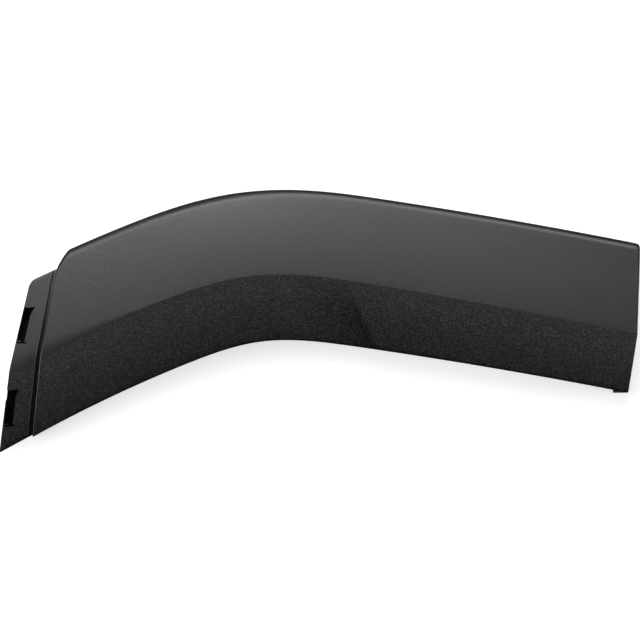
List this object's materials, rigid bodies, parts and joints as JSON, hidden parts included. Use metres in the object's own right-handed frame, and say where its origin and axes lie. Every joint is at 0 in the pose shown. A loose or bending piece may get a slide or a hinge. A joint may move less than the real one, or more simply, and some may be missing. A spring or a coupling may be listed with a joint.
{
  "type": "wheel arch trim",
  "caption": "Curved moulded trim strip with a crease along its length, a stepped overlap flange with hook slots at one end and a plain end.",
  "frame": {"origin": "middle of the footprint, on the surface that the trim lies on with its show face up", "axes": "+X along the trim to its plain end, +Y to the upper edge that meets the body panel, +Z out of the show face"},
  "size_m": [0.4484, 0.1836, 0.039],
  "materials": {
    "trim_plastic": "fine grained, satin"
  },
  "bodies": {
    "root": {"wheel_arch_trim": "trim_plastic"}
  },
  "joints": []
}
